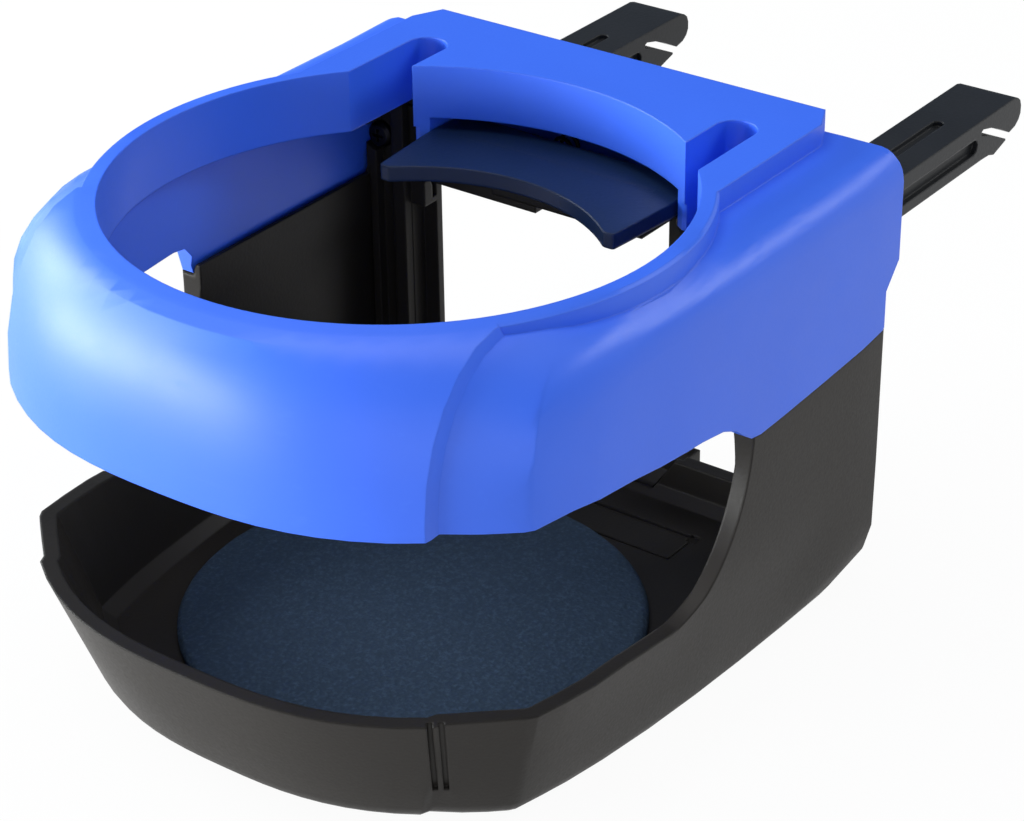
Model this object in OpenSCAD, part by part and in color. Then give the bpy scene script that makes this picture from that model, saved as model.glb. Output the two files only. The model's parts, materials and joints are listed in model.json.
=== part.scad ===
/* [Opening] */
// Radius of the cup opening in the collar
opening_r = 38; // [33:0.5:42]
// Width of the raised rim round the opening
rim_w = 2.3; // [1.5:0.1:4]
// Height of the top of the collar above the base
top_z = 68; // [60:1:80]
// Drop from the top of the collar to the lower edge of the wall of the opening
lip_drop = 9; // [6:0.5:13]

/* [Collar] */
// Distance from the opening to the sides of the collar and of the body
side_gap = 6; // [4.5:0.1:10]
// Front of the collar in front of the cup axis
collar_front = 47.6; // [45:0.2:52]
// Rear face of the collar behind the cup axis
collar_rear = 52.2; // [51:0.2:54]
// Drop from the plateau to the shoulders
shoulder_drop = 3.1; // [1.5:0.1:4]
// Wall thickness of the collar
collar_wall = 2; // [1.6:0.1:2.2]
// Half width of the plateau
plateau_x = 34; // [31:0.5:36]
// Half width of the arc block
arc_x = 22.5; // [21.5:0.1:24]
// Width of the slots beside the arc block
slot_w = 6; // [4:0.5:7]

/* [Body] */
// Front of the tray rim in front of the cup axis
tray_front = 46.4; // [44:0.2:47]
// Height of the front rim of the tray
rim_z = 19.5; // [15:0.5:26]
// Rear face of the body behind the cup axis
body_rear = 49; // [47:0.5:50]
// Wall thickness of the tray
tray_wall = 2.2; // [1.8:0.1:2.6]
// Thickness of the floor
floor_t = 3; // [2.8:0.1:4]
// Rear edge of the right side window
window_right = 15.5; // [5:0.5:20]
// Rear edge of the left side window
window_left = 5.7; // [2:0.5:20]
// Half width of the rear window
post_x = 31.5; // [26:0.5:34]
// Height of the low rear wall
sill_z = 9.2; // [6:0.2:14]

/* [Foam pad] */
// Radius of the foam pad
foam_r = 32.3; // [28:0.1:33]
// Thickness of the foam pad
foam_t = 2; // [1:0.5:4]

/* [Pusher] */
// Radius of the front edge of the pusher
pusher_r = 26.4; // [24:0.1:30]
// Thickness of the pusher plate
pusher_t = 2.2; // [1.6:0.1:3]
// Travel of the pusher
pusher_travel = 7.4; // [4:0.2:7.4]
// Wire diameter of the springs
wire_d = 0.6; // [0.4:0.1:0.8]

/* [Clips] */
// Width of a vent clip
clip_w = 9.6; // [7:0.2:11]
// Distance of the clip centre from the middle
clip_x = 29.4; // [24:0.2:31]
// End of the hook behind the cup axis
clip_end = 104.9; // [90:0.5:120]
// Gap of the slit for the vent blade
slit = 1; // [0.8:0.1:2]
// Clearance round the sliding pieces
fit = 0.15; // [0.08:0.01:0.2]

/* [Support foot] */
// Half width of the flat slide
foot_x = 20.4; // [16:0.2:22]
// Thickness of the flat slide
foot_t = 1.2; // [1:0.1:1.3]
// Travel of the support foot
foot_travel = 25; // [10:1:30]

/* [Screws] */
// Shank diameter of the screws
screw_d = 2.2; // [2:0.1:2.6]
// Head diameter of the screws
screw_head = 4; // [3.6:0.1:4.4]

/* [Hidden] */
$fn = 64;
e = 0.01;
half_w = opening_r + side_gap;
lip_z = top_z - lip_drop;
post_top = lip_z + 1;
clip_top = lip_z - 7;
shoulder_z = top_z - shoulder_drop;
rim_r = opening_r + rim_w;
arc_r = opening_r + 0.7;
lid_t = 2.4;
wall_in = collar_rear - 2.8;
post_in = body_rear - 4.1;
rib_in = body_rear - 5.7;
pusher_z = lip_z - 0.5 - pusher_t;
foot_z = 0.9;
foot_top = foot_z + foot_t;
carrier_y = wall_in - 4.5;
foot_y = wall_in - 0.2;
catch_y = foam_r - 2.1;
stem_h = 6.4;
stem_z = clip_top - stem_h;

// Closed skin through rings of equal length
module skin(rings) {
    n = len(rings[0]);
    m = len(rings);
    pts = [for (r = rings) each r];
    sides = [for (k = [0:m - 2], i = [0:n - 1]) let (a = k * n + i, b = k * n + (i + 1) % n)
        each [[b + n, b, a], [a + n, b + n, a]]];
    polyhedron(pts, concat(sides, [[for (i = [0:n - 1]) i]],
        [[for (i = [n - 1:-1:0]) (m - 1) * n + i]]), convexity = 8);
}

// Right half of a ring made whole by its mirror image
function whole(h) = concat(h, [for (i = [len(h) - 2:-1:1]) [-h[i][0], h[i][1]]]);
function front_arc(y, xe, drop, p) = [for (i = [0:9]) let (t = i / 9) [xe * t, y + drop * pow(t, p)]];
function unit(v) = v / norm(v);
function left_of(v) = [-v[1], v[0]];
// Ring moved inward by d, along its normals in front and straight in at its rear corners
function inset(r, d) = [for (i = [0:len(r) - 1])
    let (n = len(r), a = unit(r[i] - r[(i + n - 1) % n]), b = unit(r[(i + 1) % n] - r[i]),
        m = unit(left_of(a) + left_of(b)))
    r[i][1] > 42 ? r[i] - [sign(r[i][0]), 1] * d : r[i] + m * d / max(0.75, m * left_of(a))];
function mix(a, b, t) = [for (i = [0:len(a) - 1]) a[i] * (1 - t) + b[i] * t];
function lift(r, z) = [for (q = r) [q[0], q[1], z]];
// Ring at one height at the rear and at another in front
function step_up(r, z_rear, z_front) = [for (q = r) [q[0], q[1], q[1] > 42 ? z_rear : z_front]];
function tail(x, y, r) = [[x, y - r], [x - 0.16 * r, y - 0.45 * r], [x - 0.45 * r, y - 0.16 * r],
    [x - r, y], [36, y], [30, y], [20, y], [10, y], [0, y]];

// Rings of the body at the base line, at the tray rim and at the top
base_ring = whole(concat(front_arc(6.8 - tray_front, 26.6, 6.8, 2.6),
    [[27.1, -31.6], [30.4, -29.6], [33, -27.6], [35, -25.8], [35.7, -24.8], [36.7, -20.8],
    [37.7, -16.4], [38.8, -10], [half_w - 4.1, -1], [half_w - 3.3, 9], [half_w - 2.8, 19],
    [half_w - 2, 29], [half_w - 0.8, 38]],
    tail(half_w - 0.1, body_rear - 0.1, 1.6)));
rim_ring = whole(concat(front_arc(-tray_front, 32.3, 9, 2.8),
    [[32.9, -36.1], [35.9, -33.4], [38.5, -31], [40.5, -29.1], [41.3, -27.9], [42.2, -23],
    [half_w - 1.1, -17.8], [half_w - 0.8, -10], [half_w - 0.6, 0], [half_w - 0.5, 10],
    [half_w - 0.4, 20], [half_w - 0.3, 30], [half_w - 0.15, 40]],
    tail(half_w - 0.02, body_rear - 0.02, 1.3)));
top_ring = whole(concat(front_arc(-tray_front, 32.3, 9, 2.8),
    [[32.9, -36.1], [35.9, -33.4], [38.5, -31], [40.5, -29.1], [41.3, -27.9], [42.4, -23],
    [half_w - 0.8, -17.8], [half_w - 0.5, -10], [half_w - 0.1, 0], [half_w, 10],
    [half_w, 20], [half_w, 30], [half_w, 40]],
    tail(half_w, body_rear, 1.3)));
// Radius of the rounding between the underside and the walls along the base ring
base_round = mirror_list(concat([for (i = [0:17]) 3], [3, 3, 3, 4, 6], [9, 9, 9, 9, 6],
    [for (i = [28:31]) 3]));
// Ring of that rounding, f runs from 90 on the underside to 0 on the wall
function foot_ring(f) = let (m = inset(base_ring, 1) - base_ring)
    [for (i = [0:len(base_ring) - 1]) let (r = base_round[i], z = r * (1 - sin(f)),
        q = base_ring[i] + (rim_ring[i] - base_ring[i]) * z / rim_z + m[i] * r * (1 - cos(f)))
        [q[0], q[1], z]];
// Ring of the collar with its front hoop proud of the shoulders
collar_low = whole(concat(front_arc(-collar_front, 33.1, 9.2, 2.7),
    [[33.5, -36.4], [36.2, -34], [38.6, -31.7], [40.7, -29.6], [41.4, -28.4], [42.4, -23],
    [half_w - 0.8, -17.8], [half_w - 0.5, -10], [half_w - 0.1, 0], [half_w, 10],
    [half_w, 20], [half_w, 30], [half_w, 40]],
    tail(half_w, body_rear + 0.1, 1.3)));
collar_ring = whole(concat(front_arc(-collar_front, 33.1, 9.2, 2.7),
    [[33.5, -36.4], [36.2, -34], [38.6, -31.7], [40.7, -29.6], [41.4, -28.4], [42.4, -23],
    [half_w - 0.8, -17.8], [half_w - 0.5, -10], [half_w - 0.1, 0], [half_w, 10],
    [half_w, 20], [half_w, 30], [half_w, 40]],
    tail(half_w, collar_rear, 1.3)));
crest_r = rim_r + 0.3;
function on_rim(x) = [x, -sqrt(crest_r * crest_r - x * x)];
function at_rim(a) = [crest_r * cos(a), crest_r * sin(a)];
// Where the curve over the top of each column ends
crest = whole(concat([for (i = [0:9]) on_rim(33 * i / 9)],
    [on_rim(33.4), at_rim(-29.2), at_rim(-26.2), at_rim(-23.6), at_rim(-22.2), at_rim(-19.4),
    at_rim(-16), at_rim(-10.4), at_rim(0), at_rim(13), at_rim(28), [plateau_x, 30],
    [plateau_x, 38.5], [plateau_x, 44], [33.7, 45.6], [33, 46.6], [32, 47.3],
    [30, 47.6], [26, 47.8], [19, 47.8], [9, 47.8], [0, 47.8]]));
function mirror_list(h) = concat(h, [for (i = [len(h) - 2:-1:1]) h[i]]);
crest_z = mirror_list(concat([for (i = [0:9]) top_z - 0.05],
    [for (d = [1.5, 1.7, 1.9, 2.2, 2.4, 2.6, 2.8, 3, 3.1, 3.1]) top_z - d * shoulder_drop / 3.1],
    [for (i = [20:31]) shoulder_z]));
curve_b = mirror_list(concat([for (i = [0:9]) 19.5], [18, 17.5, 16.5, 14, 11, 8.5, 6.5, 5.4, 5, 5],
    [for (i = [20:23]) 5], [4.5, 4, 3.4], [for (i = [27:31]) 2.4]));
curve_a = mirror_list(concat([for (i = [0:14]) 99], [9, 7, 5.6, 5, 5],
    [for (i = [20:23]) 5], [4.5, 4, 3.4], [for (i = [27:31]) 2.4]));

// Rings that climb over the edge of the collar to the crest
function climb(ring, t, k, steps) = [for (i = [0:len(ring) - 1])
    let (q = ring[i], v = crest[i] - q, dist = norm(v), far = curve_a[i] > 90,
        aa = far ? dist : max(1.4, curve_a[i] - t), b = far ? curve_b[i] : max(1.2, curve_b[i] - t),
        end = acos(1 - min(1, 0.96 * dist / aa)), f = end * k / steps, d = aa * (1 - cos(f)))
    [q[0] + v[0] / dist * d, q[1] + v[1] / dist * d, crest_z[i] - t * lid_t / collar_wall - b + b * sin(f)]];
function crest_ring(s, t) = [for (i = [0:len(crest) - 1])
    [crest[i][0] * s, crest[i][1] * s, crest_z[i] - t * lid_t / collar_wall]];

// Lower edge of the skirt as seen from the side, given as depth below the top
skirt_right = [[-60, 21.8], [-40, 21.8], [-37.5, 21.7], [-36.3, 21.4], [-33, 21.8], [-28.5, 22.1],
    [-22.4, 22.1], [-19, 22.4], [-11, 23.1], [-5.6, 23.8], [3.3, 24.5], [8, 25.2], [10.8, 26.4],
    [13.1, 28.2], [14.7, 29.3], [17, 29.7], [22.4, 29.6], [32.4, 29.2], [42.6, 28.7], [49.2, 27.9],
    [56, 27.2]];
skirt_left = [[-60, 21.8], [-40, 21.8], [-37.5, 21.7], [-36.3, 21.4], [-33, 21.8], [-14, 22],
    [-4.5, 21.9], [1.2, 21.6], [3.5, 21.9], [4.9, 23.7], [5.8, 27.1], [7.4, 30.6], [12.6, 30],
    [22.4, 29.8], [32.4, 29.4], [42.6, 28.7], [49.2, 27.9], [56, 27.2]];
function skirt_edge(list) = [for (q = list) [q[0], top_z - q[1]]];
// Rear edge of a side window, which sweeps forward to the rim of the tray
function window_edge(y, n) = [for (i = [0:n]) let (f = 90 * i / n, h = top_z - 28.6 - rim_z + 2.1)
    [y - 17 + 17 * sin(f), top_z - 28.6 - h * cos(f)]];

// Tools for shapes drawn from the side or from the rear
module along_x(x0, x1) {
    translate([x0, 0, 0]) rotate([90, 0, 90]) linear_extrude(height = x1 - x0) children();
}
module rear_hole(x, z, y0, y1, d) {
    translate([x, y0, z]) rotate([-90, 0, 0]) cylinder(d = d, h = y1 - y0);
}
module side_box(x0, x1, y0, y1, z0, z1) {
    for (s = [0, 1]) mirror([s, 0, 0]) translate([x0, y0, z0]) cube([x1 - x0, y1 - y0, z1 - z0]);
}
module pan_screw(l) {
    difference() {
        rotate_extrude() polygon([[0, -l], [screw_d / 2 - 0.5, -l], [screw_d / 2, -l + 0.7],
            [screw_d / 2, 0], [screw_head / 2, 0], [screw_head / 2, 0.7], [screw_head / 2 - 0.4, 1.2],
            [0, 1.4]]);
        for (a = [0, 90]) rotate([0, 0, a]) translate([-1, -0.25, 0.6]) cube([2, 0.5, 2]);
    }
}

// Blue collar
slot_out = arc_x + slot_w;
slot_mid = arc_x + slot_w / 2;
slot_end = 41.6 - slot_w / 2;
outer_x = half_w - 5;
carrier_holes = [for (x = [-outer_x, -15, 15, outer_x]) [x, lip_z - 10]];
post_hole_x = post_x + 4.2;
collar_holes = [for (x = [-post_hole_x, post_hole_x]) [x, lip_z - 1.4]];

module slot_plan(g) {
    for (s = [0, 1]) mirror([s, 0, 0]) {
        translate([slot_mid, slot_end]) circle(r = slot_w / 2 + g);
        translate([arc_x - g, 20]) square([slot_w + 2 * g, slot_end - 20]);
    }
}
module opening_plan() {
    circle(r = opening_r, $fn = 128);
    intersection() {
        circle(r = arc_r, $fn = 128);
        translate([-arc_x - 1, 0]) square([2 * arc_x + 2, 50]);
    }
    slot_plan(0);
}
// Raised flat area behind the opening
module plateau_plan() {
    polygon([[plateau_x, 21], [plateau_x, 46.4], [31.9, 50.9], [-31.9, 50.9],
        [-plateau_x, 46.4], [-plateau_x, 21]]);
}
module collar_shell() {
    difference() {
        skin(concat([lift(collar_low, top_z - 34), step_up(collar_low, top_z - 22.6, top_z - 24),
            step_up(collar_ring, top_z - 19, top_z - 22)],
            [for (k = [0:6]) climb(collar_ring, 0, k, 6)],
            [crest_ring(1, 0), crest_ring(0.9, 0), lift(mix(crest, crest * 0, 0.12), top_z - 12)]));
        skin(concat([lift(inset(collar_low, collar_wall), top_z - 35),
            step_up(inset(collar_low, collar_wall), top_z - 21.85, top_z - 25.5),
            step_up(inset(collar_ring, collar_wall + 0.8), top_z - 19.65, top_z - 23.5)],
            [for (k = [0:5]) climb(inset(collar_ring, collar_wall + 0.8), collar_wall, k, 5)],
            [crest_ring(1, collar_wall), crest_ring(0.9, collar_wall),
            lift(mix(crest, crest * 0, 0.12), top_z - 14)]));
        translate([-31.6, 20, top_z - 35]) cube([63.2, wall_in - 20.6, 35 - lid_t]);
    }
}
module collar_block() {
    difference() {
        translate([0, 0, top_z - 5.2]) linear_extrude(height = 5.2) plateau_plan();
        translate([-31.6, 20, top_z - 6]) cube([63.2, wall_in - 20.6, 6 - lid_t]);
    }
}
module collar_rim() {
    rotate_extrude($fn = 128) polygon([[opening_r - 1, lip_z], [rim_r, lip_z], [rim_r, top_z - 0.4],
        [rim_r - 0.4, top_z], [opening_r - 1, top_z]]);
    translate([0, 0, lip_z]) linear_extrude(height = top_z - lip_z - 1) slot_plan(2.2);
}
module arc_wall() {
    intersection() {
        difference() {
            translate([0, 0, lip_z + 1.3]) cylinder(r = arc_r + 2, h = top_z - lip_z - 2.3, $fn = 128);
            translate([0, 0, lip_z]) cylinder(r = arc_r - 0.9, h = top_z);
        }
        translate([-arc_x, 20, 0]) cube([2 * arc_x, 40, top_z]);
    }
}
module collar_form() {
    resize([2 * half_w, 0, 0]) difference() {
        union() {
            difference() {
                union() {
                    collar_shell();
                    collar_block();
                    collar_rim();
                }
                translate([-20.6, 20, top_z - 28]) cube([41.2, wall_in - 20.6, 28 - lid_t]);
            }
            arc_wall();
            side_box(20.6, arc_x, 32, wall_in + 0.5, lip_z - 4, top_z - 2);
            side_box(12.4, 14.4, 41.4, wall_in + 0.5, pusher_z + pusher_t + fit, top_z - 2);
            for (h = carrier_holes)
                rear_hole(h[0], h[1], wall_in - 2.5, wall_in + 0.5, abs(h[0]) > 20 ? 4.8 : 5);
        }
        translate([0, 0, top_z - 28]) cylinder(r = opening_r - 0.8, h = 40);
        along_x(0, 60) polygon(concat([[-60, 20]], skirt_edge(skirt_right), [[56, 20]]));
        along_x(-60, 0) polygon(concat([[-60, 20]], skirt_edge(skirt_left), [[56, 20]]));
        translate([-12.2, 44, 0]) cube([24.4, 20, lip_z - 10.4]);
        translate([-post_x - 1.45, wall_in - 4, 0]) cube([2 * post_x + 2.9, 20, lip_z - 15.6]);
        side_box(clip_x - clip_w / 2 - 6.2, clip_x + clip_w / 2 + 2.2, wall_in - 0.7, 60,
            stem_z - fit, clip_top + fit);
        side_box(clip_x - clip_w / 2 - 7.4, clip_x + clip_w / 2 + 3.4, wall_in - 3, foot_y + 0.1,
            stem_z + 1 - fit, clip_top + 1 + fit);
    }
}
module collar() {
    color([0.2, 0.36, 0.9]) difference() {
        collar_form();
        translate([0, 0, top_z - 28]) linear_extrude(height = 40) opening_plan();
        for (h = carrier_holes) rear_hole(h[0], h[1], wall_in - 3, wall_in + 1.6, screw_d + 0.04);
        for (h = collar_holes) {
            rear_hole(h[0], h[1], wall_in - 1, 60, screw_d + 0.2);
            rear_hole(h[0], h[1], collar_rear - 1.4, 60, screw_head + 0.4);
        }
    }
}

// Black body with the tray
module body_solid() {
    intersection() {
        skin(concat([for (f = [90, 66, 44, 22, 0]) foot_ring(f)],
            [lift(mix(base_ring, rim_ring, 11 / rim_z), 11), lift(rim_ring, rim_z),
            lift(top_ring, top_z - 28), lift(top_ring, top_z - 20)]));
        union() {
            along_x(0, 60) polygon(concat([[56, -1], [-60, -1]], skirt_edge(skirt_right)));
            along_x(-60, 0) polygon(concat([[56, -1], [-60, -1]], skirt_edge(skirt_left)));
        }
    }
    skin([lift(inset(top_ring, 2.25), top_z - 33), lift(inset(top_ring, 2.25), top_z - 26.2),
        lift(inset(top_ring, 3.1), top_z - 24.2), lift(inset(top_ring, 3.1), post_top)]);
}
module body_hollow() {
    difference() {
        skin([lift(inset(mix(base_ring, rim_ring, 0.15), tray_wall + 1.6), floor_t),
            lift(inset(mix(base_ring, rim_ring, 0.24), tray_wall + 0.2), floor_t + 1.7),
            lift(inset(rim_ring, tray_wall), rim_z), lift(inset(top_ring, tray_wall + 0.3), top_z - 34),
            lift(inset(top_ring, 3.3), top_z - 28.5), lift(inset(top_ring, 3.3), top_z - 25.1),
            lift(inset(top_ring, 4.2), top_z - 23), lift(inset(top_ring, 4.2), top_z + 2)]);
        side_box(post_x, 50, post_in, 60, 0, top_z + 9);
        side_box(post_x + 2.5, post_x + 4.7, rib_in, 60, 0, top_z + 9);
        side_box(half_w - 4.9, half_w - 3.6, rib_in, 60, 0, top_z + 9);
    }
}
module body_form() {
    resize([0, 0, post_top]) difference() {
        union() {
            difference() {
                body_solid();
                body_hollow();
                along_x(10, 60) polygon(concat([[-60, rim_z], [-30, rim_z], [window_right - 26, rim_z - 1.1]],
                    window_edge(window_right, 16), [[window_right, 80], [-60, 80]]));
                along_x(-60, -10) polygon(concat([[-60, rim_z], [-30, rim_z], [window_left - 20, rim_z - 0.9]],
                    window_edge(window_left, 16), [[window_left, 80], [-60, 80]]));
                translate([-20, -60, rim_z]) cube([40, 80, 60]);
                translate([-post_x, 40, sill_z]) cube([2 * post_x, 20, 80]);
                translate([-60, -60, top_z - 25.3]) cube([120, 60 + rib_in, 40]);
                translate([2.8 - half_w, carrier_y - 0.15, lip_z - 16]) cube([2 * half_w - 5.6, 20, 12]);
                side_box(post_x - 0.5, post_x + 2.4, 40, body_rear - 1.3, sill_z, top_z - 29);
            }
            side_box(post_x, post_x + 1.3, body_rear - 1.3, body_rear, top_z - 31, lip_z - 15.7);
            side_box(post_x + 2.4, post_x + 6.1, post_in, foot_y, lip_z - 4, post_top);
            side_box(post_x + 6, half_w - 3.8, post_in, foot_y - 1, lip_z - 4, post_top);
        }
        translate([-60, -60, post_top]) cube([120, 120, 20]);
        translate([0, 0, -1]) linear_extrude(height = 2) foot_channel(1.2);
        translate([0, 0, foot_z - 0.1]) linear_extrude(height = foot_t + 0.2) foot_channel(0);
        hatch_lines();
        sill_notch();
        catch_pocket();
    }
}
module body() {
    color([0.16, 0.16, 0.17]) difference() {
        body_form();
        for (h = collar_holes) rear_hole(h[0], h[1], post_in + 0.6, 60, screw_d + 0.04);
        for (x = [-outer_x, outer_x])
            rear_hole(x, lip_z - 10, rib_in - 1, carrier_y, screw_head + 0.6);
    }
}
// Grooves that outline the cover of the slide in the floor
module hatch_lines() {
    translate([0, foam_r, floor_t - 0.45]) linear_extrude(height = 2) {
        difference() {
            translate([-foot_x, -0.1]) square([2 * foot_x, 7.4]);
            translate([0.3 - foot_x, 0.3]) square([2 * foot_x - 0.6, 6.2]);
        }
        for (x = [-foot_x, foot_x]) translate([x - 0.8, 5.6]) square([1.6, 1.9]);
    }
}
module foot_channel(d) {
    translate([-foot_x - fit + d, 7]) square([2 * (foot_x + fit - d), 60]);
}
module sill_notch() {
    translate([0, 60, 0]) rotate([90, 0, 0]) linear_extrude(height = 60 - 46)
        polygon([[-7.9, foot_top], [7.9, foot_top], [7.9, floor_t - 0.1], [12.5, sill_z + 1],
            [-12.5, sill_z + 1], [-7.9, floor_t - 0.1]]);
    translate([-12.6, body_rear - 1.2, foot_z - 0.1]) cube([25.2, 12, 12]);
}
module catch_pocket() {
    translate([foot_x, catch_y - 6.6, foot_z - 0.1]) cube([2.6, 13.2, foot_t + 0.2]);
    translate([foot_x + 0.4, catch_y - 5.4, -1]) cube([2.2, 10.8, 3]);
}

// Round foam pad
module foam_pad() {
    color([0.16, 0.22, 0.3]) translate([0, 0, floor_t]) cylinder(r = foam_r, h = foam_t, $fn = 128);
}

// Crescent pusher with its two lugs
module pusher() {
    lug_z = lip_z - 8.1;
    color([0.12, 0.13, 0.15]) {
        difference() {
            translate([0, 0, pusher_z]) linear_extrude(height = pusher_t) difference() {
                polygon([[18.9, 16], [20.25, 31], [20.25, 39.6], [-20.25, 39.6], [-20.25, 31],
                    [-18.9, 16]]);
                circle(r = pusher_r, $fn = 128);
                translate([-19.6, 15]) square([39.2, 3.6]);
            }
            translate([-16, 33.2, pusher_z + pusher_t - 0.5]) cube([32, 0.8, 1]);
        }
        for (x = [-8, 8]) {
            translate([x - 2.5, 37.9, lug_z]) cube([5, 1.6, pusher_z - lug_z + e]);
            rear_hole(x, lug_z + 2.6, 39.4, 41.2, 2.2);
        }
    }
}
// Coil spring between the pusher and the rear wall
module pusher_spring() {
    turns = 5;
    n = 16;
    l = wall_in - 39.6 - wire_d;
    color([0.6, 0.62, 0.64]) translate([0, 39.6 + wire_d / 2, lip_z - 5.5])
        skin([for (k = [0:turns * n]) let (f = 360 * k / n, y = l * k / (turns * n))
            [for (j = [0:5]) let (r = 1.7 + wire_d / 2 * cos(60 * j))
                [r * cos(f), y + wire_d / 2 * sin(60 * j), r * sin(f)]]]);
}
module pusher_spring_left() {
    translate([-8, 0, 0]) pusher_spring();
}
module pusher_spring_right() {
    translate([8, 0, 0]) pusher_spring();
}

// Inner carrier behind the pusher
module rear_carrier() {
    y0 = carrier_y;
    color([0.14, 0.14, 0.15]) difference() {
        union() {
            side_box(11.4, half_w - 3.4, y0, y0 + 2, lip_z - 15.6, lip_z - 4.4);
            translate([-12.6, 36.3, lip_z - 9.6]) cube([25.2, y0 + 2 - 36.3, 1.3]);
            translate([-12.6, 36.3, lip_z - 9.6]) cube([25.2, 1.3, 6.2]);
            side_box(11.4, 12.6, 36.3, y0 + 2, lip_z - 9.6, lip_z - 4.4);
        }
        for (h = carrier_holes) {
            rear_hole(h[0], h[1], y0 - 1, y0 + 3, screw_d + 0.2);
        }
    }
}
// Screws of the carrier and of the collar
module carrier_screw(i) {
    h = carrier_holes[i];
    color([0.5, 0.51, 0.53]) translate([h[0], carrier_y, h[1]]) rotate([90, 0, 0]) pan_screw(5.6);
}
module carrier_screw_left_outer() {
    carrier_screw(0);
}
module carrier_screw_left_inner() {
    carrier_screw(1);
}
module carrier_screw_right_inner() {
    carrier_screw(2);
}
module carrier_screw_right_outer() {
    carrier_screw(3);
}
module collar_screw(i) {
    h = collar_holes[i];
    color([0.5, 0.51, 0.53]) translate([h[0], collar_rear - 1.4, h[1]]) rotate([-90, 0, 0]) pan_screw(5);
}
module collar_screw_left() {
    collar_screw(0);
}
module collar_screw_right() {
    collar_screw(1);
}

// Vent clip with hook, slit and lower jaw
module clip() {
    c = clip_end;
    t = clip_top;
    color([0.13, 0.13, 0.14]) difference() {
        union() {
            along_x(-clip_w / 2, clip_w / 2) polygon([[foot_y - 0.5, t], [c - 2.4, t], [c - 1.3, t - 0.3],
                [c - 0.5, t - 0.9], [c - 0.1, t - 1.9], [c - 0.1, t - 3.1], [c - 0.6, t - 4],
                [c - 1.6, t - 4.7], [c - 3.4, t - 5.1], [c - 6.4, t - 3.5], [c - 9.4, t - 2.2],
                [c - 11.8, t - 1.6], [c - 12.3, t - 1.8], [c - 12.4, t - 1.8 - slit * 0.5],
                [c - 11.9, t - 1.6 - slit], [c - 9, t - 2.6 - slit], [c - 4.5, t - 4.7 - slit],
                [c - 4.4, t - 5 - slit], [c - 8, t - stem_h - 0.6], [c - 9.6, t - stem_h - 0.1],
                [c - 12, t - stem_h], [foot_y - 0.5, t - stem_h]]);
            translate([-clip_w / 2 - 1, foot_y - 2.2, stem_z + 1])
                cube([clip_w + 2, 2.2, stem_h]);
        }
        for (s = [0, 1]) mirror([s, 0, 0]) {
            translate([clip_w / 2 - 0.9, collar_rear + 1, stem_z + 1.6])
                cube([2, c - 14.6 - collar_rear - 1, 2.4]);
            translate([clip_w / 2 - 0.9, c - 14.6, stem_z + 2.8]) rotate([0, 90, 0])
                cylinder(d = 2.4, h = 2);
        }
        translate([-0.9, c - 45, t - 0.8]) cube([1.8, 28, 2]);
        translate([0, c - 17, t - 0.8]) cylinder(d = 1.8, h = 2);
        translate([-4.2, foot_y - 2.3, stem_z + 1.4]) cube([8.4, 0.8, 5]);
    }
}
module clip_left() {
    translate([-clip_x, 0, 0]) clip();
}
module clip_right() {
    translate([clip_x, 0, 0]) clip();
}
// Bowed spring plate behind the foot of a clip
module clip_brake() {
    color([0.66, 0.67, 0.69]) translate([0, foot_y - 2.05, stem_z + 1.7]) linear_extrude(height = 4.4)
        difference() {
            translate([0, 18.7]) circle(r = 18.9, $fn = 180);
            translate([0, 18.7]) circle(r = 18.6, $fn = 180);
            translate([-30, 0.25]) square([60, 60]);
        }
}
module clip_brake_left() {
    translate([-clip_x, 0, 0]) clip_brake();
}
module clip_brake_right() {
    translate([clip_x, 0, 0]) clip_brake();
}

// Sliding support foot with its head in the notch of the rear wall
module support_foot() {
    color([0.17, 0.17, 0.18]) difference() {
        union() {
            translate([-foot_x, 9, foot_z]) cube([2 * foot_x, body_rear - 9, foot_t]);
            intersection() {
                along_x(-12.3, 12.3) polygon([[46.4, foot_z], [46.4, foot_top], [47.2, floor_t],
                    [51.2, sill_z], [53, sill_z], [53, foot_z]]);
                translate([0, 60, 0]) rotate([90, 0, 0]) linear_extrude(height = 20)
                    polygon([[-7.6, foot_z], [7.6, foot_z], [7.6, floor_t], [12.2, sill_z + 1],
                        [-12.2, sill_z + 1], [-7.6, floor_t]]);
            }
            translate([-12.2, body_rear, foot_z]) cube([24.4, 4, 7.4]);
        }
        for (y = [11.8:3:32.8]) {
            translate([-foot_x - e, y, foot_top - 0.35]) cube([2 * foot_x + 2 * e, 0.8, 1]);
            translate([foot_x, y + 0.4, 0]) cylinder(r = 0.6, h = 4, $fn = 24);
        }
        translate([foot_x - 0.46, 8, 0]) cube([1, 26.2, 4]);
        translate([-11.2, 52.2, foot_z + 0.7]) cube([22.4, 2, 6]);
    }
}
// Rubber pad on the face of the support foot
module foot_pad() {
    color([0.1, 0.1, 0.1]) translate([-11.1, 52.2, foot_z + 0.8]) cube([22.2, 1.8, 5.8]);
}
// Leaf spring that clicks in the notches of the slide
module foot_catch() {
    color([0.66, 0.67, 0.69]) translate([foot_x, catch_y, foot_z]) linear_extrude(height = foot_t) {
        translate([0.05, 0]) circle(r = 0.45, $fn = 24);
        translate([0.05, -0.45]) square([0.7, 0.9]);
        translate([0.5, -6.5]) square([0.3, 13]);
        for (y = [-6.5, 6.1]) translate([0.5, y]) square([2.1, 0.4]);
    }
}

collar();
body();
foam_pad();
pusher();
pusher_spring_left();
pusher_spring_right();
rear_carrier();
carrier_screw_left_outer();
carrier_screw_left_inner();
carrier_screw_right_inner();
carrier_screw_right_outer();
collar_screw_left();
collar_screw_right();
clip_left();
clip_right();
clip_brake_left();
clip_brake_right();
support_foot();
foot_pad();
foot_catch();
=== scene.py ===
# Car cup holder for an air vent: finishes, foam pad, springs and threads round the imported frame
import json
import math

import bmesh
import bpy
import numpy as np
from mathutils import Matrix, Vector, kdtree, noise


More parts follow.
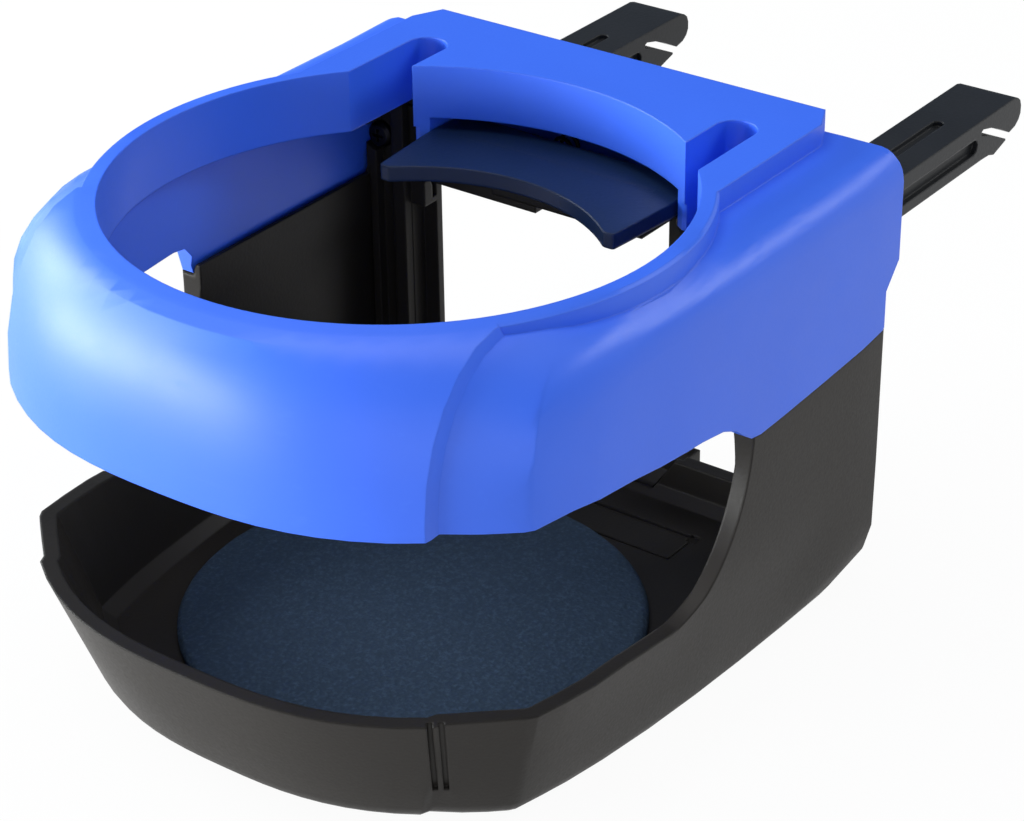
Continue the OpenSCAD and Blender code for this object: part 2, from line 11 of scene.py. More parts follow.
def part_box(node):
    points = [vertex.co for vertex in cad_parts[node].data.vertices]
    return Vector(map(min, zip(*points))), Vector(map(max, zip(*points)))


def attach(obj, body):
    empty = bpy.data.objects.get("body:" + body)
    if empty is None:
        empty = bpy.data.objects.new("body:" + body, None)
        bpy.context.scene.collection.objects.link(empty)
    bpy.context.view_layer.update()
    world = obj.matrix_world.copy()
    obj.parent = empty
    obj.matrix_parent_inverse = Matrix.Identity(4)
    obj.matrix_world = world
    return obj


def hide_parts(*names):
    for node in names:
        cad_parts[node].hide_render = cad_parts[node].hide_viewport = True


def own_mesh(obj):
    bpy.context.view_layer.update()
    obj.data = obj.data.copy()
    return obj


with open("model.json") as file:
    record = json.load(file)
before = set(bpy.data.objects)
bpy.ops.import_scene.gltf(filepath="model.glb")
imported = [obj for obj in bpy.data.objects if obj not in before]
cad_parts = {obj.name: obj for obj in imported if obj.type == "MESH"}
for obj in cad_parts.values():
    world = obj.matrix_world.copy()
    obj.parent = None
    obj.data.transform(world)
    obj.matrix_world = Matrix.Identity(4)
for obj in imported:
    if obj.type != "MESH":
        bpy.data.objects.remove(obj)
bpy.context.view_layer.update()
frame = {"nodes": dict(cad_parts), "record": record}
print("frame loaded:", len(frame["nodes"]), "nodes")

# Camera as fitted to the photograph, angles in degrees and lengths in metres
cameraView = {
    "azimuth": 36.54,
    "elevation": 29.3,
    "roll": -0.76,
    "target": Vector((0.01722, 0, 0.04094)),
    "distance": 0.3695,
    "focalPixels": 2899.3,
    "imageWidth": 1024,
    "sensorWidth": 36,
    "clip": (0.01, 50),
}


def makeCamera(v):
    azimuth, elevation, roll = (math.radians(v[k]) for k in ("azimuth", "elevation", "roll"))
    back = Vector((
        math.sin(azimuth) * math.cos(elevation),
        -math.cos(azimuth) * math.cos(elevation),
        math.sin(elevation),
    ))
    right = Vector((math.cos(azimuth), math.sin(azimuth), 0))
    up = back.cross(right)
    rolledRight = right * math.cos(roll) + up * math.sin(roll)
    rolledUp = up * math.cos(roll) - right * math.sin(roll)
    data = bpy.data.cameras.new("camera")
    data.sensor_width = v["sensorWidth"]
    data.lens = v["sensorWidth"] * v["focalPixels"] / v["imageWidth"]
    data.clip_start, data.clip_end = v["clip"]
    camera = bpy.data.objects.new("camera", data)
    bpy.context.scene.collection.objects.link(camera)
    turn = Matrix((rolledRight, rolledUp, back)).transposed()
    camera.matrix_world = Matrix.Translation(v["target"] + back * v["distance"]) @ turn.to_4x4()
    bpy.context.scene.camera = camera


makeCamera(cameraView)
print("camera set")


# A shader socket that takes part in plain arithmetic
class Wire:
    def __init__(self, tree, socket):
        self.tree = tree
        self.socket = socket

    def maths(self, operation, *values):
        node = self.tree.nodes.new("ShaderNodeMath")
        node.operation = operation
        for slot, value in zip(node.inputs, values):
            if isinstance(value, Wire):
                self.tree.links.new(value.socket, slot)
            else:
                slot.default_value = value
        return Wire(self.tree, node.outputs[0])

    def __add__(self, other):
        return self.maths("ADD", self, other)

    __radd__ = __add__

    def __sub__(self, other):
        return self.maths("SUBTRACT", self, other)

    def __rsub__(self, other):
        return self.maths("SUBTRACT", other, self)

    def __mul__(self, other):
        return self.maths("MULTIPLY", self, other)

    __rmul__ = __mul__

    def __truediv__(self, other):
        return self.maths("DIVIDE", self, other)

    def __pow__(self, other):
        return self.maths("POWER", self, other)

    def clamp(self, low=0.0, high=1.0):
        return self.maths("MINIMUM", self.maths("MAXIMUM", self, low), high)


# A material under construction: node() makes any node and gives back its outputs
class Finish:
    def __init__(self, name):
        self.material = bpy.data.materials.new(name)
        self.material.use_nodes = True
        self.tree = self.material.node_tree
        self.tree.nodes.clear()
        self.place = self.node("ShaderNodeTexCoord").get("Object")

    def node(self, kind, settings=None, inputs=None):
        made = self.tree.nodes.new(kind)
        for key, value in (settings or {}).items():
            setattr(made, key, value)
        for key, value in (inputs or {}).items():
            if isinstance(value, Wire):
                self.tree.links.new(value.socket, made.inputs[key])
            else:
                made.inputs[key].default_value = value
        return Outputs(self.tree, made)

    def noise(self, scale, detail=3.0, roughness=0.5, vector=None):
        inputs = {"Vector": vector or self.place, "Scale": scale}
        inputs.update({"Detail": detail, "Roughness": roughness})
        return self.node("ShaderNodeTexNoise", None, inputs).get("Fac")

    def cells(self, scale):
        inputs = {"Vector": self.place, "Scale": scale}
        return self.node("ShaderNodeTexVoronoi", {"feature": "F1"}, inputs).get("Distance")

    def mixColour(self, factor, a, b):
        return self.node("ShaderNodeMix", {"data_type": "RGBA"}, {0: factor, 6: a, 7: b}).get(2)

    def bump(self, height, strength, distance, normal=None):
        inputs = {"Height": height, "Strength": strength, "Distance": distance}
        if normal:
            inputs["Normal"] = normal
        return self.node("ShaderNodeBump", None, inputs).get("Normal")

    def roundedEdges(self, radius):
        return self.node("ShaderNodeBevel", {"samples": 6}, {"Radius": radius}).get("Normal")

    def close(self, **sockets):
        names = {
            "baseColor": "Base Color", "roughness": "Roughness", "metallic": "Metallic",
            "specular": "Specular IOR Level", "normal": "Normal",
        }
        inputs = {names[key]: value for key, value in sockets.items()}
        shader = self.node("ShaderNodeBsdfPrincipled", None, inputs)
        self.node("ShaderNodeOutputMaterial", None, {"Surface": shader.get("BSDF")})
        return self.material


class Outputs:
    def __init__(self, tree, made):
        self.tree = tree
        self.made = made

    def get(self, key):
        return Wire(self.tree, self.made.outputs[key])


def pale(colour):
    return (*colour, 1)


# Scales are in cells per metre, bump depths in metres
bluePlasticLook = {
    "colour": (0.038, 0.15, 0.86),
    "deepColour": (0.033, 0.13, 0.78),
    "wearColour": (0.08, 0.22, 0.92),
    "roughness": 0.43,
    "specular": 0.42,
    "edgeRadius": 0.0003,
    "cloudScale": 45,
    "grainScale": 2600,
    "grainBump": (0.12, 0.00006),
    "waveScale": 160,
    "waveBump": (0.05, 0.0003),
    "scratchScale": 900,
    "scratchStretch": (0.15, 1.0, 1.0),
    "scratchLevel": 0.66,
    "wearAmount": 0.35,
}


def makeBluePlastic(look):
    f = Finish("bluePlastic")
    cloud = f.noise(look["cloudScale"], 2, 0.5)
    grain = f.noise(look["grainScale"], 2, 0.6)
    waves = f.noise(look["waveScale"], 2, 0.5)
    stretched = f.node(
        "ShaderNodeMapping", None, {"Vector": f.place, "Scale": look["scratchStretch"]}
    ).get("Vector")
    scratches = f.noise(look["scratchScale"], 1, 0.4, vector=stretched)
    wear = ((scratches - look["scratchLevel"]) * 6).clamp() * look["wearAmount"]
    colour = f.mixColour(cloud, pale(look["colour"]), pale(look["deepColour"]))
    colour = f.mixColour(wear * 0.25, colour, pale(look["wearColour"]))
    uneven = (grain - 0.5) * 0.12 + (waves - 0.5) * 0.08 + wear * 0.15
    roughness = (look["roughness"] + uneven).clamp()
    rounded = f.roundedEdges(look["edgeRadius"])
    normal = f.bump(grain, *look["grainBump"], rounded)
    normal = f.bump(waves, *look["waveBump"], normal)
    return f.close(
        baseColor=colour, roughness=roughness, normal=normal, specular=look["specular"]
    )


blackPlasticLook = {
    "colour": (0.0145, 0.0128, 0.0115),
    "liftedColour": (0.023, 0.0208, 0.0184),
    "dustColour": (0.10, 0.095, 0.088),
    "specular": 0.13,
    "roughness": 0.42,
    "edgeRadius": 0.0005,
}
# What all the dark plastics and the rubber share
darkGrain = {
    "cloudScale": 60,
    "grainScale": 2200,
    "cellScale": 1900,
    "bump": (0.18, 0.00008),
    "dustScale": 3400,
    "dustLevel": 0.7,
    "dustAmount": 0.2,
}


def makeBlackPlastic(name, look):
    f = Finish(name)
    cloud = f.noise(darkGrain["cloudScale"], 3, 0.55)
    grain = f.noise(darkGrain["grainScale"], 3, 0.65)
    cells = f.cells(darkGrain["cellScale"])
    specks = f.noise(darkGrain["dustScale"], 1, 0.5)
    dust = ((specks - darkGrain["dustLevel"]) * 8).clamp() * 0.5
    colour = f.mixColour(cloud, pale(look["colour"]), pale(look["liftedColour"]))
    colour = f.mixColour(dust * darkGrain["dustAmount"], colour, pale(look["dustColour"]))
    roughness = (look["roughness"] + (grain - 0.5) * 0.2 + (cloud - 0.5) * 0.1).clamp()
    rounded = f.roundedEdges(look["edgeRadius"])
    normal = f.bump(cells * 0.6 + grain * 0.4, *darkGrain["bump"], rounded)
    return f.close(
        baseColor=colour, roughness=roughness, normal=normal, specular=look["specular"]
    )


clipPlasticLook = {
    "colour": (0.010, 0.011, 0.0125),
    "liftedColour": (0.018, 0.0195, 0.022),
    "dustColour": (0.07, 0.07, 0.07),
    "specular": 0.16,
    "roughness": 0.36,
    "edgeRadius": 0.0004,
}
pusherPlasticLook = {
    "colour": (0.006, 0.016, 0.05),
    "liftedColour": (0.009, 0.022, 0.066),
    "dustColour": (0.06, 0.08, 0.12),
    "specular": 0.2,
    "roughness": 0.34,
    "edgeRadius": 0.0005,
}
rubberLook = {
    "colour": (0.012, 0.012, 0.012),
    "liftedColour": (0.022, 0.022, 0.021),
    "dustColour": (0.07, 0.07, 0.065),
    "specular": 0.3,
    "roughness": 0.7,
    "edgeRadius": 0.0003,
}
foamLook = {
    "shadeColour": (0.015, 0.028, 0.048),
    "colour": (0.031, 0.054, 0.088),
    "fleckColour": (0.07, 0.118, 0.18),
    "roughness": 0.85,
    "specular": 0.15,
    "patchScale": 140,
    "cellScale": 1500,
    "poreScale": 1700,
    "bump": (0.55, 0.00025),
}


def makeFoam(look):
    f = Finish("foam")
    patches = f.noise(look["patchScale"], 3, 0.6)
    cells = f.noise(look["cellScale"], 4, 0.7)
    flecks = ((f.noise(look["cellScale"], 4, 0.75) - 0.5) * 3).clamp()
    pores = f.cells(look["poreScale"])
    colour = f.mixColour(cells, pale(look["shadeColour"]), pale(look["colour"]))
    colour = f.mixColour(flecks * (0.25 + patches * 0.6), colour, pale(look["fleckColour"]))
    normal = f.bump(pores * 0.7 + cells * 0.5, *look["bump"])
    roughness = (look["roughness"] + (cells - 0.5) * 0.15).clamp()
    return f.close(
        baseColor=colour, roughness=roughness, normal=normal, specular=look["specular"]
    )


steelLook = {
    "colour": (0.56, 0.57, 0.59),
    "tintColour": (0.44, 0.45, 0.5),
    "roughness": 0.3,
}
blackSteelLook = {
    "colour": (0.03, 0.03, 0.032),
    "tintColour": (0.02, 0.02, 0.022),
    "roughness": 0.42,
}
steelGrain = {
    "cloudScale": 500, "streakScale": 1800, "bump": (0.1, 0.00004), "edgeRadius": 0.00015,
}


def makeSteel(name, look):
    f = Finish(name)
    cloud = f.noise(steelGrain["cloudScale"], 3, 0.6)
    streaks = f.noise(steelGrain["streakScale"], 2, 0.5)
    colour = f.mixColour(cloud, pale(look["colour"]), pale(look["tintColour"]))
    roughness = (look["roughness"] + (streaks - 0.5) * 0.25).clamp()
    normal = f.bump(streaks, *steelGrain["bump"], f.roundedEdges(steelGrain["edgeRadius"]))
    return f.close(baseColor=colour, roughness=roughness, metallic=1.0, normal=normal)


finishes = {
    "blue_plastic": makeBluePlastic(bluePlasticLook),
    "black_plastic": makeBlackPlastic("blackPlastic", blackPlasticLook),
    "clip_plastic": makeBlackPlastic("clipPlastic", clipPlasticLook),
    "pusher_plastic": makeBlackPlastic("pusherPlastic", pusherPlasticLook),
    "rubber": makeBlackPlastic("rubber", rubberLook),
    "foam": makeFoam(foamLook),
    "steel": makeSteel("zincSteel", steelLook),
    "black_steel": makeSteel("blackSteel", blackSteelLook),
}
print("finishes made:", len(finishes))


def linked(name, data):
    thing = bpy.data.objects.new(name, data)
    bpy.context.scene.collection.objects.link(thing)
    return thing


def addPiece(name, mesh, finish, bodyName):
    piece = linked(name, mesh)
    mesh.materials.clear()
    mesh.materials.append(finish)
    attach(piece, bodyName)
    return piece


def bodyOfNode(nodeName):
    bodies = frame["record"]["behaviour"]["bodies"]
    return next(body for body, members in bodies.items() if nodeName in members)


# Plain mesh of an object with its modifiers worked in, the object itself goes away
def meshFrom(maker):
    evaluated = maker.evaluated_get(bpy.context.evaluated_depsgraph_get())
    mesh = bpy.data.meshes.new_from_object(evaluated)
    bpy.data.objects.remove(maker)
    return mesh


# Mesh made from a bmesh, which is given up
def settled(mesh, name):
    data = bpy.data.meshes.new(name)
    mesh.to_mesh(data)
    mesh.free()
    return data


def triangulateLarge(mesh):
    bmesh.ops.triangulate(mesh, faces=[face for face in mesh.faces if len(face.verts) > 3])


# How a solid is merged, cut finer and smoothed, lengths in metres and angles in degrees
dressing = {
    "mergeDistance": 0.000008, "thinFace": 0.000002, "longEdge": 0.005, "cutRounds": 5,
    "reach": 0.004, "sameLean": 24,
}
frontGrooves = {
    "low": (0.02965, -0.0325, 0.0063), "high": (0.0324, -0.0367, 0.0195),
    "along": (0.795, 0.607, 0), "shifts": (-0.0007, 0.0007),
    "width": 0.0007, "depth": 0.0006, "above": 0.0015,
}
pusherTop = {"halfWidth": 0.0161, "yRange": (0.0331, 0.0341), "depth": 0.0005, "left": 0.00002}
pusherTips = {
    "flatAngle": 0.2, "end": 0.0197, "tolerance": 0.00002, "round": 0.0007, "steps": 5,
}


def cutFiner(mesh, longEdge, rounds):
    for _ in range(rounds):
        longOnes = [edge for edge in mesh.edges if edge.calc_length() > longEdge]
        if not longOnes:
            break
        bmesh.ops.subdivide_edges(mesh, edges=longOnes, cuts=1)
        triangulateLarge(mesh)


# Slim blocks that run down the front wall of the tray, used to cut its two grooves
def grooveCutter(g):
    low, high, along = Vector(g["low"]), Vector(g["high"]), Vector(g["along"]).normalized()
    up = (high - low).normalized()
    outward = along.cross(up).normalized()
    length = (high - low).length + g["above"]
    size = Matrix.Diagonal((g["width"], g["depth"] * 2, length, 1))
    turn = Matrix((along, outward, up)).transposed().to_4x4()
    mesh = bmesh.new()
    for shift in g["shifts"]:
        middle = low + up * length / 2 + along * shift
        place = Matrix.Translation(middle)
        bmesh.ops.create_cube(mesh, size=1, matrix=place @ turn @ size)
    if mesh.calc_volume(signed=True) < 0:
        bmesh.ops.reverse_faces(mesh, faces=mesh.faces)
    return linked("grooveCutter", settled(mesh, "grooveCutter"))


def cutGroove(copy, cutter):
    maker = linked("grooveMaker", copy)
    cut = maker.modifiers.new("groove", "BOOLEAN")
    cut.operation, cut.solver, cut.object = "DIFFERENCE", "EXACT", cutter
    mesh = meshFrom(maker)
    bpy.data.objects.remove(cutter)
    return mesh


# The narrow channel on top of the pusher is filled up
def fillPusherTop(mesh, t):
    top = max(vert.co.z for vert in mesh.verts)
    for vert in mesh.verts:
        inside = abs(vert.co.x) < t["halfWidth"] and t["yRange"][0] < vert.co.y < t["yRange"][1]
        if inside and abs(vert.co.z - (top - t["depth"])) < t["depth"] / 2:
            vert.co.z = top - t["left"]


# The two pointed ends of the pusher are cut back and their upright edges rounded
def roundPusherTips(mesh, t):
    flat = math.radians(t["flatAngle"])
    bmesh.ops.dissolve_limit(mesh, angle_limit=flat, verts=mesh.verts, edges=mesh.edges)
    every = [*mesh.verts, *mesh.edges, *mesh.faces]
    bmesh.ops.bisect_plane(
        mesh, geom=every, plane_co=(0, t["end"], 0), plane_no=(0, -1, 0), clear_outer=True
    )
    bmesh.ops.holes_fill(mesh, edges=[edge for edge in mesh.edges if edge.is_boundary])
    front = t["end"] + t["tolerance"]
    uprights = [
        edge for edge in mesh.edges
        if all(vert.co.y < front for vert in edge.verts)
        and abs(edge.verts[0].co.x - edge.verts[1].co.x) < t["tolerance"]
    ]
    bmesh.ops.bevel(
        mesh, geom=uprights, affect="EDGES", offset_type="OFFSET",
        offset=t["round"], segments=t["steps"], profile=0.5, clamp_overlap=True,
    )
    triangulateLarge(mesh)
    bmesh.ops.recalc_face_normals(mesh, faces=mesh.faces)


# Each face takes on the lean of the faces near it, in a few passes, and each corner then takes
# the mean of the faces round its vertex that lean nearly the same way
def evenNormals(mesh, reach, sameLean, passes=3):
    count = len(mesh.polygons)
    level = math.cos(math.radians(sameLean))
    tree = kdtree.KDTree(count)
    leans = np.array([polygon.normal for polygon in mesh.polygons])
    areas = np.array([polygon.area for polygon in mesh.polygons])
    for polygon in mesh.polygons:
        tree.insert(polygon.center, polygon.index)
    tree.balance()
    rows, near, fall = [], [], []
    for polygon in mesh.polygons:
        for _, index, away in tree.find_range(polygon.center, reach):
            rows.append(polygon.index)
            near.append(index)
            fall.append(1 - away / reach)
    rows, near = np.array(rows), np.array(near)
    weight = np.array(fall) * areas[near]
    for _ in range(passes):
        cosines = (leans[rows] * leans[near]).sum(axis=1)
        share = weight * np.clip((cosines - level) / (1 - level), 0, 1)
        sums = [np.bincount(rows, share * leans[near, axis], count) for axis in range(3)]
        total = np.stack(sums, axis=1)
        length = np.linalg.norm(total, axis=1)[:, None]
        leans = np.where(length > 0, total / np.maximum(length, 1e-30), leans)
    around = [[] for _ in mesh.vertices]
    for polygon in mesh.polygons:
        for vertexIndex in polygon.vertices:
            around[vertexIndex].append(polygon.index)
    normals = []
    for polygon in mesh.polygons:
        own = leans[polygon.index]
        for vertexIndex in polygon.vertices:
            ring = np.array(around[vertexIndex])
            chosen = ring[leans[ring] @ own > level]
            mean = (leans[chosen] * areas[chosen][:, None]).sum(axis=0) if len(chosen) else own
            length = np.linalg.norm(mean)
            normals.append(mean / length if length > 0 else own)
    mesh.polygons.foreach_set("use_smooth", [True] * count)
    mesh.normals_split_custom_set(normals)


def dressNode(nodeName, pieceName, finishName, slotName=None, reach=None, sameLean=None):
    copy = bpy.data.meshes.new(pieceName)
    mesh = bmesh.new()
    mesh.from_mesh(frame["nodes"][nodeName].data)
    bmesh.ops.remove_doubles(mesh, verts=mesh.verts, dist=dressing["mergeDistance"])
    if nodeName == "pusher":
        fillPusherTop(mesh, pusherTop)
        roundPusherTips(mesh, pusherTips)
    if nodeName == "body":
        mesh.to_mesh(copy)
        mesh.clear()
        copy = cutGroove(copy, grooveCutter(frontGrooves))
        copy.name = pieceName
        mesh.from_mesh(copy)
        bmesh.ops.remove_doubles(mesh, verts=mesh.verts, dist=dressing["mergeDistance"])
        triangulateLarge(mesh)
    bmesh.ops.dissolve_degenerate(mesh, dist=dressing["thinFace"], edges=mesh.edges)
    triangulateLarge(mesh)
    cutFiner(mesh, dressing["longEdge"], dressing["cutRounds"])
    mesh.to_mesh(copy)
    mesh.free()
    evenNormals(copy, reach or dressing["reach"], sameLean or dressing["sameLean"])
    finish, slot = finishes[finishName], slotName or finishName
    piece = addPiece(pieceName, copy, finish, bodyOfNode(nodeName))
    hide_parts(nodeName)
    return piece


dressNode("collar", "collarShell", "blue_plastic", reach=0.005, sameLean=31)
dressNode("body", "bodyShell", "black_plastic", reach=0.005, sameLean=28)
dressNode("pusher", "cupPusher", "pusher_plastic", "black_plastic")
dressNode("rear_carrier", "rearCarrier", "black_plastic")
dressNode("support_foot", "supportFoot", "black_plastic")
dressNode("foot_pad", "footPad", "rubber")
dressNode("foot_catch", "footCatch", "steel")
for side in ("left", "right"):
    dressNode(f"clip_{side}", f"ventClip_{side}", "clip_plastic")
    dressNode(f"clip_brake_{side}", f"clipBrake_{side}", "steel")
print("moulded pieces dressed")

def shadeSmooth(mesh, sharpAngle=50):
    mesh.polygons.foreach_set("use_smooth", [True] * len(mesh.polygons))
    mesh.set_sharp_from_angle(angle=math.radians(sharpAngle))


foamPad = {
    "sideGap": 0.0001,
    "baseRound": 0.0003,
    "fill": 0.9,
    "edgeRound": 0.0007,
    "crown": 0.00022,
    "rings": 46,
    "columns": 160,
    "cellHeight": 0.00007,
    "cellScale": 900,
    "seed": Vector((3.1, 7.7, 1.9)),
}


def makeFoamPad(p):
    low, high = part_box("foam_pad")
    radius = (high.x - low.x) / 2 - p["sideGap"]
    top = high.z - p["crown"] - p["cellHeight"]
    radii = [radius * (i / p["rings"]) ** 0.9 for i in range(1, p["rings"] + 1)]
    mesh = bmesh.new()

    def topHeight(r):
        edge = max(0.0, r - (radius - p["edgeRound"])) / p["edgeRound"]
        drop = p["edgeRound"] * (1 - math.sqrt(max(0.0, 1 - edge * edge)))
        return top + p["crown"] * (1 - (r / radius) ** 4) - drop

    def point(r, k, z, rough):
        angle = 2 * math.pi * k / p["columns"]
        place = Vector((r * math.cos(angle), r * math.sin(angle), z))
        place.z += rough * p["cellHeight"] * noise.noise(place * p["cellScale"] + p["seed"])
        return mesh.verts.new(place)

    columns, foot = range(p["columns"]), p["baseRound"]
    rows = [[point(r, k, topHeight(r), 1) for k in columns] for r in radii]
    rows.append([point(radius, k, low.z + foot, 0) for k in columns])
    rows.append([point(radius - foot, k, low.z, 0) for k in columns])
    crownPoint = mesh.verts.new((0, 0, topHeight(0)))
    basePoint = mesh.verts.new((0, 0, low.z))
    for k in columns:
        n = (k + 1) % p["columns"]
        mesh.faces.new((crownPoint, rows[0][k], rows[0][n]))
        mesh.faces.new((basePoint, rows[-1][n], rows[-1][k]))
        for upper, lower in zip(rows, rows[1:]):
            mesh.faces.new((upper[k], lower[k], lower[n], upper[n]))
    data = settled(mesh, "foamPad")
    shadeSmooth(data)
    pad = addPiece("foamPad", data, finishes["foam"], "holder")
    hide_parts("foam_pad")


makeFoamPad(foamPad)
print("foam pad made")

# Springs and screw threads are one winding tree: a helix swept with a round wire
springLook = {"turns": 5.5, "wire": 0.0003, "radius": 0.0017, "travel": 0.0074}


def windingTree():
    tree = bpy.data.node_groups.new("winding", "GeometryNodeTree")
    for name, kind, default in (
        ("Turns", "NodeSocketFloat", 5.0),
        ("Radius", "NodeSocketFloat", 0.002),
        ("End Radius", "NodeSocketFloat", 0.002),
        ("Length", "NodeSocketFloat", 0.01),
        ("Wire", "NodeSocketFloat", 0.0003),
        ("Finish", "NodeSocketMaterial", None),
    ):
        socket = tree.interface.new_socket(name, in_out="INPUT", socket_type=kind)
        if default is not None:
            socket.default_value = default
    tree.interface.new_socket("Geometry", in_out="OUTPUT", socket_type="NodeSocketGeometry")
    new, link = tree.nodes.new, tree.links.new
    given, result = new("NodeGroupInput"), new("NodeGroupOutput")
    spiral, sweep = new("GeometryNodeCurveSpiral"), new("GeometryNodeCurveToMesh")
    wire = new("GeometryNodeCurvePrimitiveCircle")
    spiral.inputs["Resolution"].default_value = 20
    wire.inputs["Resolution"].default_value = 10
    sweep.inputs["Fill Caps"].default_value = True
    link(given.outputs["Turns"], spiral.inputs["Rotations"])
    link(given.outputs["Radius"], spiral.inputs["Start Radius"])
    link(given.outputs["End Radius"], spiral.inputs["End Radius"])
    link(given.outputs["Length"], spiral.inputs["Height"])
    link(given.outputs["Wire"], wire.inputs["Radius"])
    link(spiral.outputs["Curve"], sweep.inputs["Curve"])
    link(wire.outputs["Curve"], sweep.inputs["Profile Curve"])
    realize, paint = new("GeometryNodeRealizeInstances"), new("GeometryNodeSetMaterial")
    link(sweep.outputs["Mesh"], realize.inputs["Geometry"])
    link(realize.outputs["Geometry"], paint.inputs["Geometry"])
    link(given.outputs["Finish"], paint.inputs["Material"])
    link(paint.outputs["Geometry"], result.inputs["Geometry"])
    return tree


winding = windingTree()


def wind(values):
    maker = linked("windingMaker", bpy.data.meshes.new("windingMaker"))
    modifier = maker.modifiers.new("winding", "NODES")
    modifier.node_group = winding
    for item in winding.interface.items_tree:
        if item.in_out == "INPUT" and item.name in values:
            modifier[item.identifier] = values[item.name]
    return meshFrom(maker)


# The winding grows along Z and is laid along Y from the given place
def layAlongY(mesh, place):
    mesh.transform(Matrix.Translation(place) @ Matrix.Rotation(math.radians(-90), 4, "X"))


# Each spring is wound along Y to fill the length of its part, one wire thickness short at each
# end
def makeSpring(side):
    low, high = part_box(f"pusher_spring_{side}")
    mesh = wind({
        "Turns": springLook["turns"],
        "Radius": springLook["radius"],
        "End Radius": springLook["radius"],
        "Length": high.y - low.y - 2 * springLook["wire"],
        "Wire": springLook["wire"],
        "Finish": finishes["black_steel"],
    })
    centre = (low + high) / 2
    layAlongY(mesh, (centre.x, low.y + springLook["wire"], centre.z))
    shadeSmooth(mesh)
    spring = addPiece(f"pusherSpring_{side}", mesh, finishes["black_steel"], "holder")
    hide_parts(f"pusher_spring_{side}")
    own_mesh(spring)


for side in ("left", "right"):
    makeSpring(side)

screwLook = {
    "headHeight": 0.0014,
    "shankScale": 0.86,
    "pitch": 0.0008,
    "wire": 0.00014,
    "crest": 0.0011,
    "endRoom": 0.0001,
    "smoothReach": 0.0003,
}


# The shank is slimmed and a helical thread is wound on it up to the old diameter
def makeScrew(nodeName, pieceName, finishName, headAtRear):
    look = screwLook
    piece = dressNode(nodeName, pieceName, finishName, "steel")
    low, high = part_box(nodeName)
    centre = (low + high) / 2
    start = low.y if headAtRear else low.y + look["headHeight"]
    end = high.y - look["headHeight"] if headAtRear else high.y
    for vertex in piece.data.vertices:
        radial = Vector((vertex.co.x - centre.x, 0, vertex.co.z - centre.z))
        onShank = start - look["endRoom"] < vertex.co.y < end + look["endRoom"]
        if onShank and radial.length < look["crest"] * 1.1:
            vertex.co -= radial * (1 - look["shankScale"])
    length = end - start - 3 * look["pitch"]
    radius = look["crest"] - look["wire"]
    thread = wind({
        "Turns": length / look["pitch"],
        "Radius": radius,
        "End Radius": radius,
        "Length": length,
        "Wire": look["wire"],
        "Finish": finishes[finishName],
    })
    layAlongY(thread, (centre.x, start + 1.5 * look["pitch"], centre.z))
    thread.polygons.foreach_set("use_smooth", [True] * len(thread.polygons))
    joined = bmesh.new()
    joined.from_mesh(piece.data)
    joined.from_mesh(thread)
    joined.to_mesh(piece.data)
    joined.free()
    evenNormals(piece.data, look["smoothReach"], dressing["sameLean"], passes=1)


for place in ("left_outer", "left_inner", "right_inner", "right_outer"):
    makeScrew(f"carrier_screw_{place}", f"carrierScrew_{place}", "black_steel", False)
for side in ("left", "right"):
    makeScrew(f"collar_screw_{side}", f"collarScrew_{side}", "steel", True)
print("springs and screws made")


floorLook = {"radius": 3, "colour": (0.82, 0.82, 0.82, 1), "whiteShare": 0.95}


# Looked at or mirrored the floor is nearly white, and it keeps a faint shadow of the object
def makeFloor(look):
    f = Finish("paleFloor")
    seen = f.node("ShaderNodeLightPath")
    direct = (
        seen.get("Is Camera Ray") + seen.get("Is Glossy Ray") + seen.get("Is Transmission Ray")
    ).clamp()
    diffuse = f.node("ShaderNodeBsdfDiffuse", None, {"Color": look["colour"]}).get("BSDF")
    glow = f.node("ShaderNodeEmission", None, {"Color": (1, 1, 1, 1), "Strength": 1.0})
    shares = {0: direct * look["whiteShare"], 1: diffuse, 2: glow.get("Emission")}
    mixed = f.node("ShaderNodeMixShader", None, shares).get(0)
    f.node("ShaderNodeOutputMaterial", None, {"Surface": mixed})
    mesh = bmesh.new()
    bmesh.ops.create_circle(mesh, cap_ends=True, radius=look["radius"], segments=64)
    data = settled(mesh, "floor")
    data.materials.append(f.material)
    linked("floor", data)


worldLook = {"ambientColour": (0.92, 0.95, 1, 1), "ambientStrength": 0.18}


# The world is white where it is looked at or mirrored, and a soft even light otherwise
def makeWorld(look):
    world = bpy.data.worlds.new("studio")
    bpy.context.scene.world = world
    world.use_nodes = True
    tree = world.node_tree
    tree.nodes.clear()
    path = tree.nodes.new("ShaderNodeLightPath")
    kinds = ("Camera", "Glossy", "Transmission")
    seen = [Wire(tree, path.outputs[f"Is {kind} Ray"]) for kind in kinds]
    direct = (seen[0] + seen[1] + seen[2]).clamp()
    grounds = []
    for colour, power in ((look["ambientColour"], look["ambientStrength"]), ((1, 1, 1, 1), 1)):
        ground = tree.nodes.new("ShaderNodeBackground")
        ground.inputs["Color"].default_value = colour
        ground.inputs["Strength"].default_value = power
        grounds.append(ground)
    mix = tree.nodes.new("ShaderNodeMixShader")
    out = tree.nodes.new("ShaderNodeOutputWorld")
    tree.links.new(direct.socket, mix.inputs[0])
    tree.links.new(grounds[0].outputs[0], mix.inputs[1])
    tree.links.new(grounds[1].outputs[0], mix.inputs[2])
    tree.links.new(mix.outputs[0], out.inputs["Surface"])


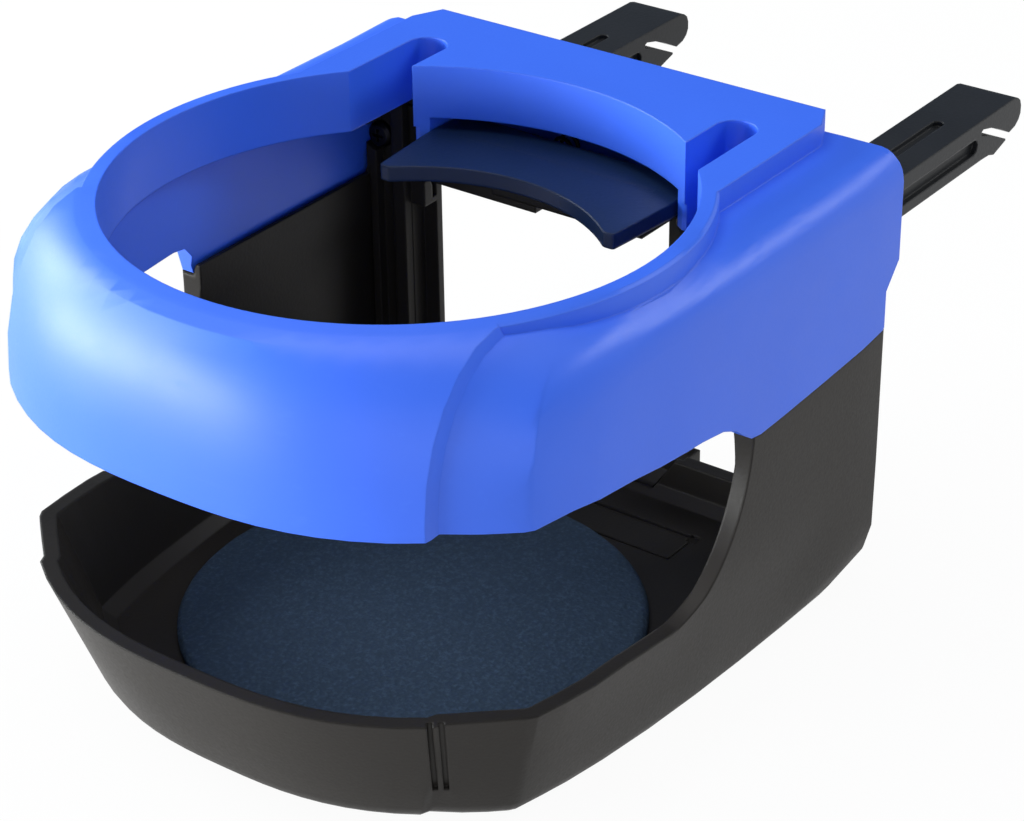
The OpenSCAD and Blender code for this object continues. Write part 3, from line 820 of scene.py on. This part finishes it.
# Soft boxes: where each stands, its size in metres, its power in watts and its tint
softBoxes = {
    "keyLeft": {
        "place": (-0.75, -0.08, 0.3), "size": (0.42, 0.42), "power": 5.6, "tint": (0.93, 0.99, 1),
    },
    "frontLeft": {
        "place": (-0.62, -0.62, 0.09), "size": (0.9, 0.24), "power": 16, "tint": (0.97, 1, 1),
    },
    "frontRight": {
        "place": (0.52, -0.7, 0.12), "size": (0.8, 0.6), "power": 2.4, "tint": (1, 1, 1),
    },
    "topFill": {
        "place": (-0.1, -0.05, 0.85), "size": (0.6, 0.6), "power": 3.4, "tint": (1, 1, 1),
    },
    "shoulderBand": {
        "place": (0.48, 0.55, 0.5), "size": (0.3, 0.3), "power": 2.4, "tint": (0.95, 0.98, 1),
    },
}
lightsAim = Vector((0, 0.01, 0.035))


def makeLights(boxes):
    for name, box in boxes.items():
        data = bpy.data.lights.new(name, "AREA")
        data.shape = "RECTANGLE"
        data.size, data.size_y = box["size"]
        data.energy = box["power"]
        data.color = box["tint"]
        lamp = linked(name, data)
        lamp.location = box["place"]
        facing = lightsAim - Vector(box["place"])
        lamp.rotation_euler = facing.to_track_quat("-Z", "Y").to_euler()


# A dark card behind the object, seen only in its gloss, so level black faces stay black
backCard = {"place": (-0.52, 0.7, 0.5), "size": (1.5, 1.0), "colour": (0.1, 0.13, 0.19, 1)}


def makeBackCard(card):
    f = Finish("darkCard")
    glow = f.node("ShaderNodeEmission", None, {"Color": card["colour"], "Strength": 1.0})
    f.node("ShaderNodeOutputMaterial", None, {"Surface": glow.get("Emission")})
    mesh = bmesh.new()
    bmesh.ops.create_grid(mesh, x_segments=1, y_segments=1, size=0.5)
    data = settled(mesh, "backCard")
    data.materials.append(f.material)
    sheet = linked("backCard", data)
    sheet.location = card["place"]
    sheet.rotation_euler = (-Vector(card["place"])).to_track_quat("-Z", "Y").to_euler()
    sheet.scale = (*card["size"], 1)
    sheet.visible_camera = sheet.visible_diffuse = False
    sheet.visible_shadow = sheet.visible_transmission = False


makeFloor(floorLook)
makeBackCard(backCard)
makeWorld(worldLook)
makeLights(softBoxes)
bpy.context.scene.view_settings.view_transform = "Standard"
print("studio set")
